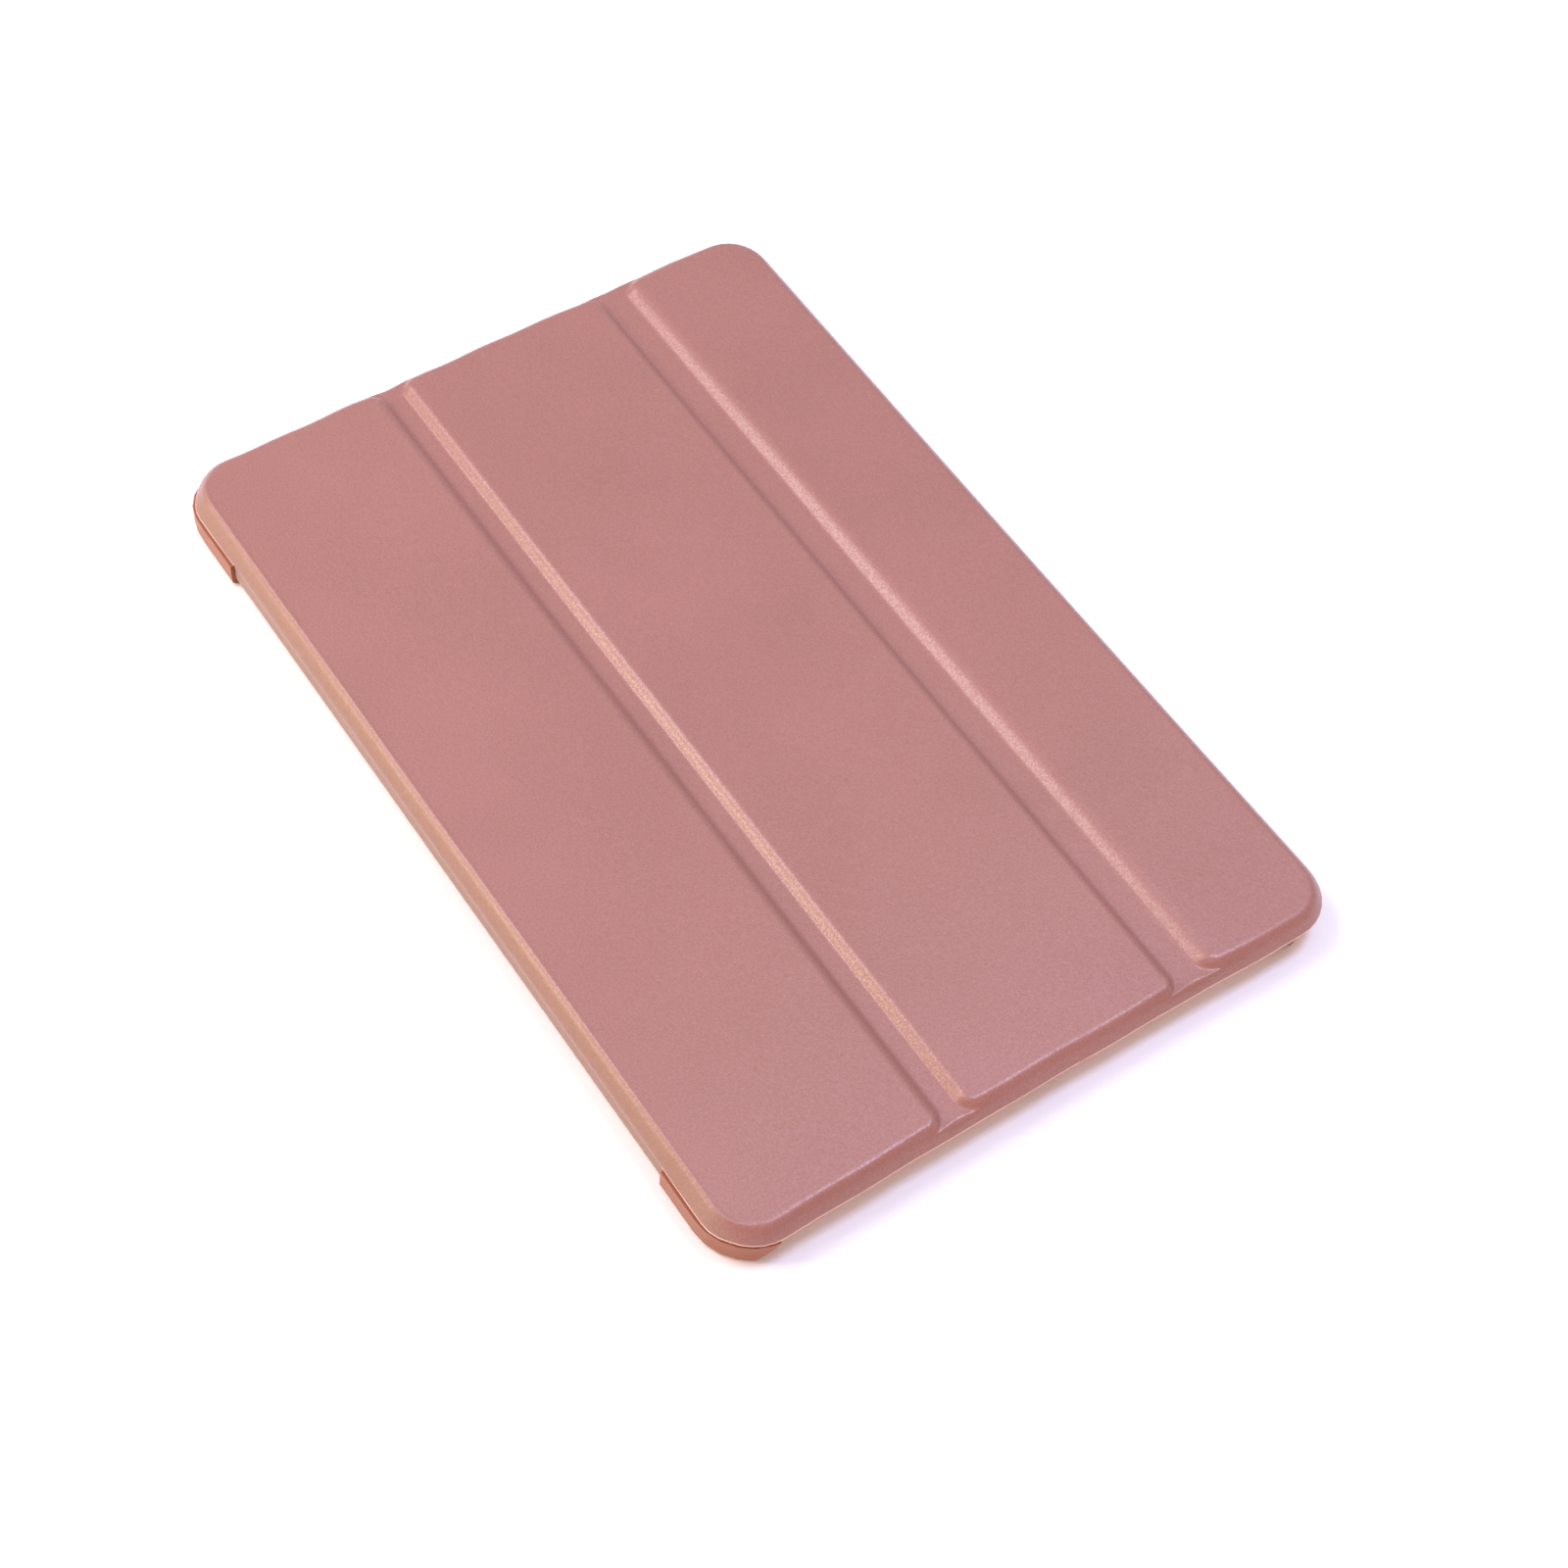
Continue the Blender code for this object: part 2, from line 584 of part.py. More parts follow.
def side_button(length_x, length_y):
    """A pill button that points along local Z, with a wider flange on its inner end."""
    flange = 0.5
    stem = 2.0
    levels = ((0.6, 0.0), (0.6, flange), (0.0, flange), (0.0, stem - 0.15), (-0.15, stem))
    rings = []
    for wider, z in levels:
        half_x, half_y = length_x / 2 + wider, length_y / 2 + wider
        radius = min(half_x, half_y) * 0.98
        ends = (radius, radius)
        rings.append(rounded_ring((-half_x, half_x), (-half_y, half_y), ends, z, 4))
    return loft(rings)


def make_side_buttons(slots, root):
    """Power button on the upper edge and two volume buttons on the free edge."""
    tub = bpy.data.objects["rear_housing"]
    depth, height, length = 1.6, 1.6, 9.0
    inner_y = TABLET_HALF_Y - depth
    power = pivot("power_button_pivot", (45.0, inner_y, SIDE_BUTTON_Z), root)
    place("power_button", side_button(length, height), slots["aluminium"], power,
          power["at"], (-90, 0, 0))
    carve(tub, "cut_power_hole", block(length + 0.5, height + 0.5, 5.0, 1.0), root,
          (45.0, inner_y, SIDE_BUTTON_Z), (-90, 0, 0))
    place("power_button_switch", block(6.0, 2.4, 0.5, 0.3), slots["steel"], root,
          (45.0, inner_y - 1.0, SIDE_BUTTON_Z), (-90, 0, 0))

    inner_x = TABLET_HALF_X - depth
    for name, y in (("volume_down_button", 56.0), ("volume_up_button", 70.0)):
        body = pivot(f"{name}_pivot", (inner_x, y, SIDE_BUTTON_Z), root)
        place(name, side_button(height, length), slots["aluminium"], body, body["at"], (0, 90, 0))
        carve(tub, f"cut_{name}", block(height + 0.5, length + 0.5, 5.0, 1.0), root,
              (inner_x, y, SIDE_BUTTON_Z), (0, 90, 0))
    place("volume_switch_board", block(2.6, 26.0, 0.5, 0.3), slots["circuit_board"], root,
          (inner_x - 1.0, 63.0, SIDE_BUTTON_Z), (0, 90, 0))


def make_home_button(slots, root):
    """Home button in the glass, with its switch and the bracket that backs it."""
    body = pivot("home_button_pivot", (0, HOME_Y, 6.35), root)
    profile = [(HOME_RADIUS, 0), (HOME_RADIUS, 1.0), (HOME_RADIUS - 0.4, 1.15), (4.4, 1.0)]
    place("home_button", turned(profile, 28), slots["button_white"], body, body["at"])
    place("home_button_switch", block(4.4, 4.4, 0.6, 0.4), slots["steel"], root,
          (0, HOME_Y, BRACKET_BOTTOM + 0.4))
    bracket = place("home_button_bracket", block(25.0, 7.6, 0.3, 1.0), slots["steel"], root,
                    (0, BRACKET_SCREWS[0][1], BRACKET_BOTTOM))
    for number, (x, y) in enumerate(BRACKET_SCREWS, start=1):
        hole = turned([(SCREW_HOLE, 0), (SCREW_HOLE, 2)], 12)
        carve(bracket, f"cut_bracket_hole_{number}", hole, root, (x, y, BRACKET_BOTTOM - 1))


def screw(shank):
    """A small pan-head screw whose head rests on its local origin."""
    return turned([(0.45, -shank), (0.6, -shank + 0.2), (0.6, 0), (1.15, 0), (1.15, 0.25),
                   (0.9, 0.4), (0.4, 0.4), (0.35, 0.15)], 10)


def make_screws(slots, root):
    """Screws of the shield plate, the logic board and the home button bracket."""
    groups = (
        ("shield_screw", SHIELD_SCREWS, SHIELD_BOTTOM + SHIELD_THICKNESS, 1.7),
        ("board_screw", BOARD_SCREWS, BOARD_BOTTOM + BOARD_THICKNESS, 0.95),
        ("bracket_screw", BRACKET_SCREWS, BRACKET_BOTTOM + 0.3, 1.7),
    )
    for name, spots, seat, shank in groups:
        for number, (x, y) in enumerate(spots, start=1):
            place(f"{name}_{number}", screw(shank), slots["steel"], root, (x, y, seat + 0.05))


def main():
    """Clear the scene and build every piece."""
    for old in list(bpy.data.objects):
        bpy.data.objects.remove(old, do_unlink=True)
    slots = make_materials()
    root = pivot("case_root", (0, 0, 0))
    make_back_shell(slots, root)
    make_back_flap(slots, root)
    make_housing(slots, root)
    make_glass_and_display(slots, root)
    make_electronics(slots, root)
    make_cameras(slots, root)
    make_ports(slots, root)
    make_side_buttons(slots, root)
    make_home_button(slots, root)
    make_screws(slots, root)
    make_cover(slots, root)


main()
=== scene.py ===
from math import cos, pi, radians, sin

import bpy
import numpy as np
from mathutils import Matrix


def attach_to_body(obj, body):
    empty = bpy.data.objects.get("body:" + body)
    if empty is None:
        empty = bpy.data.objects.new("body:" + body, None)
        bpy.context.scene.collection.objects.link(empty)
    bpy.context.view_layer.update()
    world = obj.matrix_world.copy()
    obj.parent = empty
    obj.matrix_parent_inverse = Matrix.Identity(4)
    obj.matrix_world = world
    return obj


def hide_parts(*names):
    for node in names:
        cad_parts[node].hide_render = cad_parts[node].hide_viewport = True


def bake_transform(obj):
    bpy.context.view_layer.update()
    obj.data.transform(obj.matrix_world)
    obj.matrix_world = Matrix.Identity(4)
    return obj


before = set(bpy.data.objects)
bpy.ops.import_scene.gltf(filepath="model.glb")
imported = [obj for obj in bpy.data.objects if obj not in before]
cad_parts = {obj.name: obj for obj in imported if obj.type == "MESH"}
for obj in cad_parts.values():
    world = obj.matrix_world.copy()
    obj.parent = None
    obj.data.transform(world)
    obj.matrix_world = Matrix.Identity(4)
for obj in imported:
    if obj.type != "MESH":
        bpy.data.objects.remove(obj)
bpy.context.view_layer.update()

# A closed tri-fold folio case with a small tablet inside. Lengths are in millimetres in the
# object's own frame: the spine is on -X, the free edge on +X, the near edge on -Y, up is +Z.
MM = 0.001

# ---------------------------------------------------------------- cover dimensions

LEFT = -69.05           # left end of the cover before its spine side is spread
RIGHT = 70.6
HALF_Y = 104.5
CORNER = 10.5
INSET = 4.5             # width of the rim, which has its own rings of points
RIDGE_RUN = 1.85        # from the lip to the ridge of a pad
SPINE_LIP = (-69.45, -69.6)     # x of the lip on the spine side, in the notch and at the corners
SPINE_BULGE = (1.35, 1.0)       # power of the bevel's curve there

CUT_EDGE = (6.35, 6.67)     # height of the lining's cut edge, just under the leather's lip
LIP_HIGH = 6.95
SLOPE = 1.865           # of the outer bevel
RIM_RUN = 1.05          # from the lip to where the groove floor is reached
FOOT_ROUND = 0.4
PAD_RISE = 1.5
LEATHER = 0.55
SPINE_LEATHER = 0.45
PAD_HALF_Y = HALF_Y - RIM_RUN

NOTCH = (-80.9, 79.9)   # the spine leather stands between the left guards
NOTCH_EARLY, NOTCH_BLEND = 3, 7.0       # the lip changes from so far before its ends, and over this

# Pads: left and right foot, and for the left and the right ramp its width, its rounding at the
# top, and its corner radii across and along (in ramp units, where a ramp is PAD_RISE wide). The
# rounding changes from the left ramp's to the right one's over ROUND_RUN, and to that of the
# near and far ends over END_RUN, at the corners.
EDGE_WIDE = PAD_RISE / SLOPE
CASE_CORNER = ((CORNER - RIM_RUN) * SLOPE,) * 2
GROOVE_CORNER = (4.0, 8.0)
END_ROUND = 2.3
ROUND_RUN, END_RUN = 14.0, 5.0
PADS = (
    {"x": (LEFT + RIM_RUN, -22.1), "wide": (EDGE_WIDE, 1.7), "round": (1.1, 0.8),
     "corner": (CASE_CORNER, GROOVE_CORNER)},
    {"x": (-18.2, 31.6), "wide": (1.6, 1.5), "round": (0.8, 0.7),
     "corner": (GROOVE_CORNER, GROOVE_CORNER)},
    {"x": (37.4, RIGHT - RIM_RUN), "wide": (2.2, EDGE_WIDE), "round": (1.1, END_ROUND),
     "corner": (GROOVE_CORNER, CASE_CORNER)},
)
GROOVE_MIDDLES = (-20.1, 34.5)
FINE_BANDS = ((-25.4, -15.0), (28.8, 41.6))     # where columns stand close together

# The cover is cut at these x into strips, so that each strip bends at one hinge only.
CUTS = (-44.0, GROOVE_MIDDLES[0], 7.0, GROOVE_MIDDLES[1])
STRIPS = ("panel_1_left", "groove_1_left", "groove_1_right", "groove_2_left", "groove_2_right")

# Spine leather, outside face, from the lip down and under the shell.
SPINE_PROFILE = (
    (-69.45, 6.35), (-69.36, 5.6), (-69.34, 4.4), (-69.42, 3.2), (-69.36, 2.2), (-69.1, 1.2),
    (-68.55, 0.42), (-67.7, 0.06), (-66.8, 0.0), (-60.0, 0.0), (-52.0, 0.0),
)
SPINE_CUT_Z = 3.7


# ---------------------------------------------------------------- mesh tools

def soft_rise(t, width):
    """0 below -width, t above width, and a parabola in between."""
    return np.where(t < -width, 0.0, np.where(t > width, t, (t + width) ** 2 / (4 * width)))


def smooth01(t):
    """0 up to t = 0, 1 from t = 1, and a smooth step in between."""
    t = np.clip(t, 0.0, 1.0)
    return t * t * (3 - 2 * t)


def spread(x, y):
    """Real x of a point of the even outline: the spine side's bevel is wider, and round in the notch."""
    past_notch = np.maximum(NOTCH[0] + NOTCH_EARLY - y, y - NOTCH[1] + NOTCH_EARLY)
    share = smooth01(past_notch / NOTCH_BLEND)
    lip = SPINE_LIP[0] + (SPINE_LIP[1] - SPINE_LIP[0]) * share
    power = SPINE_BULGE[0] + (SPINE_BULGE[1] - SPINE_BULGE[0]) * share
    ridge = LEFT + RIDGE_RUN
    inside = (x - LEFT) / RIDGE_RUN
    curved = lip + (ridge - lip) * np.clip(inside, 0, 1) ** power + np.minimum(x - LEFT, 0)
    return np.where(inside < 1, curved, x)


def pad_distance(pad, x, y):
    """Distance inside the foot of a pad, with every ramp as wide as PAD_RISE, and the share of its ends."""
    scale = [PAD_RISE / w for w in pad["wide"]]
    from_left = (x - pad["x"][0]) * scale[0]
    from_right = (pad["x"][1] - x) * scale[1]
    side = np.minimum(from_left, from_right)
    across, along = (np.where(from_left < from_right, a, b) for a, b in zip(*pad["corner"]))
    end = (PAD_HALF_Y - np.abs(y)) * SLOPE
    u, v = np.maximum(1 - side / across, 0), np.maximum(1 - end / along, 0)
    mean = (u * across + v * along) / np.maximum(u + v, 1e-6)
    inside = np.where(u + v > 0, (1 - np.hypot(u, v)) * mean, np.minimum(side, end))
    return inside, smooth01(0.5 + (side - end) / END_RUN)


def pad_height(x, y):
    """How far the pads rise over the groove floors."""
    total = 0.0
    for pad in PADS:
        inside, at_end = pad_distance(pad, x, y)
        share = smooth01((x - pad["x"][0]) / ROUND_RUN)
        top_round = pad["round"][0] * (1 - share) + pad["round"][1] * share
        top_round = top_round * (1 - at_end) + END_ROUND * at_end
        total = total + soft_rise(inside, FOOT_ROUND) - soft_rise(inside - PAD_RISE, top_round)
    return total


def waviness(x, y):
    """The slow unevenness of leather stretched over board."""
    wave = 0.05 * np.sin(x / 7.3 + y / 23.0) + 0.045 * np.sin(y / 13.7 - x / 19.0 + 1.3)
    wave = wave + 0.03 * np.sin(x / 4.1 + 2.0) * np.sin(y / 8.9 + 0.4)
    low = 0.3 * (1 - smooth01((x - LEFT) / 40.0))
    return wave - 0.11 - low


ARC_STEPS = 8           # columns round a corner
NOTCH_ROWS = 46         # rows of the leather along the notch
LINING_ROWS = 24
FINE_END = 0.955        # the leather's rows stand close together from this share of the length


def grown(first, last, steps):
    """Evenly spaced values after first, up to and with last."""
    return list(np.linspace(first, last, steps + 1))[1:]


def column_places():
    """x of the columns: equal angles round the corners, and fine across the grooves."""
    r = CORNER - INSET
    low, high = LEFT + INSET, RIGHT - INSET
    (band_1, band_1_end), (band_2, band_2_end) = FINE_BANDS
    arc = [r * (1 - cos(pi / 2 * k / ARC_STEPS)) for k in range(ARC_STEPS + 1)]
    places = [low + a for a in arc]
    places += grown(low + r, CUTS[0], 4) + grown(CUTS[0], band_1, 5)
    places += grown(band_1, band_1_end, 32)
    places += grown(band_1_end, CUTS[2], 6) + grown(CUTS[2], band_2, 6)
    places += grown(band_2, band_2_end, 38)
    places += grown(band_2_end, high - r, 4)
    places += [high - a for a in reversed(arc[:-1])]
    return np.array(places)


def strip_name(columns, column):
    """Name of the strip that a column of quads belongs to."""
    return STRIPS[sum(column >= np.argmin(np.abs(columns - cut)) for cut in CUTS)]


def row_shares(fine):
    """Share of a column's half length for each row, with rows at both ends of the notch."""
    straight = HALF_Y - CORNER
    low, high = NOTCH[0] / straight, NOTCH[1] / straight
    if not fine:
        return np.array([-1, -0.96] + list(np.linspace(low, high, LINING_ROWS)) + [0.96, 1])
    ends = list(np.linspace(FINE_END, 1.0, 10))
    shares = [-s for s in reversed(ends)] + grown(-FINE_END, low, 4)[:-1]
    shares += list(np.linspace(low, high, NOTCH_ROWS)) + grown(high, FINE_END, 4)[:-1] + ends
    return np.array(shares)


class Sheet:
    """Points and quads of one face of a sheet; each quad keeps a zone and a column strip."""

    def __init__(self, columns, shares):
        r = CORNER - INSET
        low, high = LEFT + INSET, RIGHT - INSET
        half = np.full(len(columns), HALF_Y - INSET)
        for near_end, distance in ((columns - low < r, columns - low), (high - columns < r, high - columns)):
            arc = HALF_Y - INSET - r + np.sqrt(np.maximum(r * r - (r - distance) ** 2, 0))
            half = np.where(near_end, arc, half)
        self.columns, self.nc, self.nr = columns, len(columns), len(shares)
        x = np.repeat(columns, self.nr)
        y = (half[:, None] * shares[None, :]).ravel()
        self.grid_xy = np.stack([x, y], 1)
        self.quads, self.zones = [], []
        for c in range(self.nc - 1):
            for r_ in range(self.nr - 1):
                a = c * self.nr + r_
                self.quads.append((a, a + self.nr, a + self.nr + 1, a + 1))
                self.zones.append(("top", c))
        near = [(c, 0) for c in range(self.nc)]
        right = [(self.nc - 1, k) for k in range(1, self.nr)]
        far = [(c, self.nr - 1) for c in range(self.nc - 2, -1, -1)]
        left = [(0, k) for k in range(self.nr - 2, 0, -1)]
        self.loop = near + right + far + left
        self.loop_index = [c * self.nr + k for c, k in self.loop]
        self.normals = self.outline_normals()

    def outline_normals(self):
        xy = self.grid_xy[self.loop_index]
        cx = np.clip(xy[:, 0], LEFT + CORNER, RIGHT - CORNER)
        cy = np.clip(xy[:, 1], -HALF_Y + CORNER, HALF_Y - CORNER)
        d = xy - np.stack([cx, cy], 1)
        return d / np.maximum(np.linalg.norm(d, axis=1), 1e-9)[:, None]

    def ring_zone(self, k):
        """Zone of the rim quad between loop points k and k + 1."""
        a, b = self.loop[k], self.loop[(k + 1) % len(self.loop)]
        if a[0] == 0 and b[0] == 0:
            ends = [self.grid_xy[self.loop_index[n % len(self.loop)]][1] for n in (k, k + 1)]
            y0, y1 = min(ends), max(ends)
            inside = y0 > NOTCH[0] - 0.01 and y1 < NOTCH[1] + 0.01
            return ("notch" if inside else "rim", 0)
        if a[0] == self.nc - 1 and b[0] == self.nc - 1:
            return ("rim", self.nc - 2)
        return ("rim", min(a[0], b[0]))

    def rim_quads(self, rings):
        """Add quads between the border and rings of points that follow it outwards."""
        count = len(self.loop)
        start = self.nc * self.nr
        previous = list(self.loop_index)
        for ring in range(rings):
            current = [start + ring * count + k for k in range(count)]
            for k in range(count):
                n = (k + 1) % count
                self.quads.append((previous[k], current[k], current[n], previous[n]))
                self.zones.append(self.ring_zone(k) + (ring,))
            previous = current


def vertex_normals(points, quads):
    """Unit normals of the points, each the mean of its quads' normals."""
    q = np.array(quads)
    diagonal_1, diagonal_2 = points[q[:, 2]] - points[q[:, 0]], points[q[:, 3]] - points[q[:, 1]]
    face = np.cross(diagonal_1, diagonal_2)
    total = np.zeros_like(points)
    for corner in range(4):
        np.add.at(total, q[:, corner], face)
    return total / np.maximum(np.linalg.norm(total, axis=1), 1e-12)[:, None]


def thick_piece(name, outside, inside, quads, material, flow=None):
    """Closed piece from matching outside and inside points (mm), with a rim along its border."""
    q = np.array(quads)
    used, flat = np.unique(q, return_inverse=True)
    q = flat.reshape(q.shape)
    count = len(used)
    edges = {}
    for face in q:
        for a, b in zip(face, np.roll(face, -1)):
            key = (min(a, b), max(a, b))
            edges[key] = None if key in edges else (a, b)
    border = [e for e in edges.values() if e is not None]
    faces = [tuple(int(i) for i in f) for f in q]
    faces += [tuple(int(i) + count for i in f[::-1]) for f in q]
    faces += [(int(b), int(a), int(a) + count, int(b) + count) for a, b in border]
    points = np.concatenate([outside[used], inside[used]])
    mesh = bpy.data.meshes.new(name)
    mesh.from_pydata((points * MM).tolist(), [], faces)
    mesh.polygons.foreach_set("use_smooth", [True] * len(faces))
    sharp = {(int(min(a, b)), int(max(a, b))) for a, b in border}
    sharp |= {(a + count, b + count) for a, b in sharp}
    flags = [tuple(sorted(e.vertices)) in sharp for e in mesh.edges]
    mesh.attributes.new("sharp_edge", "BOOLEAN", "EDGE").data.foreach_set("value", flags)
    rest = mesh.attributes.new("rest", "FLOAT_VECTOR", "POINT")
    source = points if flow is None else np.concatenate([flow[used], flow[used]])
    rest.data.foreach_set("vector", (source * MM).astype(np.float32).ravel())
    mesh.materials.append(material)
    piece = bpy.data.objects.new(name, mesh)
    bpy.context.scene.collection.objects.link(piece)
    return piece


# ---------------------------------------------------------------- materials

def ramp(nt, source, stops):
    node = nt.nodes.new("ShaderNodeValToRGB")
    nt.links.new(source, node.inputs[0])
    elements = node.color_ramp.elements
    while len(elements) < len(stops):
        elements.new(0.5)
    for element, (place, colour) in zip(elements, stops):
        element.position = place
        element.color = (*colour, 1)
    return node.outputs[0]


def noise(nt, vector, scale, detail=2.0, roughness=0.5):
    node = nt.nodes.new("ShaderNodeTexNoise")
    node.inputs["Scale"].default_value = scale
    node.inputs["Detail"].default_value = detail
    node.inputs["Roughness"].default_value = roughness
    nt.links.new(vector, node.inputs["Vector"])
    return node.outputs["Fac"]


def mapped(nt, source, low, high, low_to, high_to):
    node = nt.nodes.new("ShaderNodeMapRange")
    for key, value in zip((1, 2, 3, 4), (low, high, low_to, high_to)):
        node.inputs[key].default_value = value
    nt.links.new(source, node.inputs[0])
    return node.outputs[0]


def math_node(nt, operation, a, b):
    node = nt.nodes.new("ShaderNodeMath")
    node.operation = operation
    for socket, value in zip(node.inputs, (a, b)):
        if isinstance(value, (int, float)):
            socket.default_value = value
        else:
            nt.links.new(value, socket)
    return node.outputs[0]


def mixed(nt, share, a, b):
    node = nt.nodes.new("ShaderNodeMix")
    node.data_type = "RGBA"
    for socket, value in ((node.inputs[0], share), (node.inputs[6], a), (node.inputs[7], b)):
        if isinstance(value, tuple):
            socket.default_value = (*value, 1)
        elif isinstance(value, (int, float)):
            socket.default_value = value
        else:
            nt.links.new(value, socket)
    return node.outputs[2]


def start_material(name, follows_rest=False):
    """New material with its Principled node, and coordinates in millimetres."""
    material = bpy.data.materials.new(name)
    material.use_nodes = True
    nt = material.node_tree
    bsdf = next(n for n in nt.nodes if n.type == "BSDF_PRINCIPLED")
    if follows_rest:
        source = nt.nodes.new("ShaderNodeAttribute")
        source.attribute_name = "rest"
        vector = source.outputs["Vector"]
    else:
        vector = nt.nodes.new("ShaderNodeTexCoord").outputs["Object"]
    scale = nt.nodes.new("ShaderNodeVectorMath")
    scale.operation = "SCALE"
    scale.inputs["Scale"].default_value = 1 / MM
    nt.links.new(vector, scale.inputs[0])
    return material, nt, bsdf, scale.outputs[0]


def bumped(nt, bsdf, height, distance_mm, socket="Normal"):
    node = nt.nodes.new("ShaderNodeBump")
    node.inputs["Distance"].default_value = distance_mm * MM
    nt.links.new(height, node.inputs["Height"])
    nt.links.new(node.outputs[0], bsdf.inputs[socket])


# Leather: scales are per millimetre.
PEBBLE_SCALE, PEBBLE_WANDER_SCALE, PEBBLE_WANDER = 1.7, 1.1, 0.9
FINE_SCALE, SPECK_SCALE, GLITTER_SCALE, CLOUD_SCALE = 4.0, 2.2, 2.0, 0.035
GRAIN_DEPTH_MM, COAT_GRAIN_DEPTH_MM = 0.045, 0.008
LEATHER_TONES = ((0.35, (0.318, 0.133, 0.108)), (0.65, (0.334, 0.141, 0.116)))
# Painted key light: a lighter cream tone for the spine side, which faces the warm key lamp.
PAINTED_KEY_LIGHT_TONE = (0.315, 0.172, 0.110)
SPECK_TONES = ((0.3, (0.93, 0.93, 0.93)), (0.7, (1.05, 1.05, 1.05)))
LEATHER_INPUTS = {
    "Metallic": 0.12,
    "Specular IOR Level": 0.35,
    "Coat Roughness": 0.33,
    "Coat IOR": 1.75,
    "Sheen Weight": 0.12,
    "Sheen Roughness": 0.4,
    "Sheen Tint": (0.95, 0.8, 0.95, 1),
}


def pebbles(nt, mm):
    """Height of a pebble grain whose cells wander a little."""
    cells = nt.nodes.new("ShaderNodeTexVoronoi")
    cells.feature = "F1"
    cells.inputs["Scale"].default_value = PEBBLE_SCALE
    wander = nt.nodes.new("ShaderNodeTexNoise")
    wander.inputs["Scale"].default_value = PEBBLE_WANDER_SCALE
    wander.inputs["Detail"].default_value = 2
    nt.links.new(mm, wander.inputs["Vector"])
    shift = nt.nodes.new("ShaderNodeVectorMath")
    shift.operation = "MULTIPLY_ADD"
    shift.inputs[1].default_value = (PEBBLE_WANDER,) * 3
    nt.links.new(wander.outputs["Color"], shift.inputs[0])
    nt.links.new(mm, shift.inputs[2])
    nt.links.new(shift.outputs[0], cells.inputs["Vector"])
    return mapped(nt, cells.outputs["Distance"], 0.05, 0.75, 1.0, 0.0)


def leather_material():
    """Padded synthetic leather: pebble grain under a thin pearl coat, which is rubbed thin on the spine
    side, where a lighter cream colour is painted key light.
    """
    material, nt, bsdf, mm = start_material("cover_leather_look", follows_rest=True)
    fine = noise(nt, mm, FINE_SCALE, 3)
    height = math_node(nt, "ADD", math_node(nt, "MULTIPLY", pebbles(nt, mm), 0.7), fine)
    bumped(nt, bsdf, height, GRAIN_DEPTH_MM)
    bumped(nt, bsdf, height, COAT_GRAIN_DEPTH_MM, socket="Coat Normal")

    # The spine side gets a lighter cream colour, painted light from the key lamp on the side that faces it;
    # the coat is rubbed along the spine side too, but not at its near end.
    place = nt.nodes.new("ShaderNodeSeparateXYZ")
    nt.links.new(mm, place.inputs[0])
    over_spine = mapped(nt, place.outputs["Z"], 5.2, 7.6, 0.0, 1.0)
    off_edge = mapped(nt, place.outputs["X"], -67.9, -66.5, 0.35, 1.0)
    at_near_end = mapped(nt, place.outputs["Y"], -96.0, -80.0, 1.0, 0.0)
    # Share of the leather's own tone; it falls on the spine side, where the painted key light tone takes
    # over.
    away_from_painted_light = math_node(nt, "MINIMUM", over_spine, off_edge)
    coated = math_node(nt, "MINIMUM", over_spine, math_node(nt, "MAXIMUM", off_edge, at_near_end))

    glitter = mapped(nt, noise(nt, mm, GLITTER_SCALE, 1), 0.40, 0.62, 0.24, 0.56)
    worn = mapped(nt, coated, 0.0, 1.0, 0.15, 1.0)
    nt.links.new(math_node(nt, "MULTIPLY", glitter, worn), bsdf.inputs["Coat Weight"])

    cloud = noise(nt, mm, CLOUD_SCALE, 3)
    colour = nt.nodes.new("ShaderNodeMix")
    colour.data_type, colour.blend_type = "RGBA", "MULTIPLY"
    colour.inputs[0].default_value = 1.0
    nt.links.new(mixed(nt, away_from_painted_light, PAINTED_KEY_LIGHT_TONE, ramp(nt, cloud, LEATHER_TONES)), colour.inputs[6])
    nt.links.new(ramp(nt, noise(nt, mm, SPECK_SCALE, 2), SPECK_TONES), colour.inputs[7])
    nt.links.new(colour.outputs[2], bsdf.inputs["Base Color"])
    rough = math_node(nt, "ADD", mapped(nt, cloud, 0.3, 0.7, 0.44, 0.5),
                      mapped(nt, fine, 0.3, 0.7, -0.04, 0.05))
    nt.links.new(rough, bsdf.inputs["Roughness"])
    for key, value in LEATHER_INPUTS.items():
        bsdf.inputs[key].default_value = value
    return material


CLOUD_MM = 18.0         # size of the slow colour variation of the other materials


def plain_material(name, low, high, rough, grain_mm, bump_mm, follows_rest=False, **inputs):
    """Material with slow colour variation, a fine grain in its bump and an uneven roughness."""
    material, nt, bsdf, mm = start_material(name, follows_rest)
    cloud = noise(nt, mm, 1 / CLOUD_MM, 3)
    grain = noise(nt, mm, 1 / grain_mm, 3)
    share = math_node(nt, "ADD", math_node(nt, "MULTIPLY", cloud, 0.6),
                      math_node(nt, "MULTIPLY", grain, 0.4))
    nt.links.new(ramp(nt, share, ((0.35, low), (0.65, high))), bsdf.inputs["Base Color"])
    nt.links.new(mapped(nt, grain, 0.3, 0.7, rough - 0.05, rough + 0.05), bsdf.inputs["Roughness"])
    for key, value in inputs.items():
        bsdf.inputs[key.replace("_", " ")].default_value = value
    bumped(nt, bsdf, grain, bump_mm)
    return material


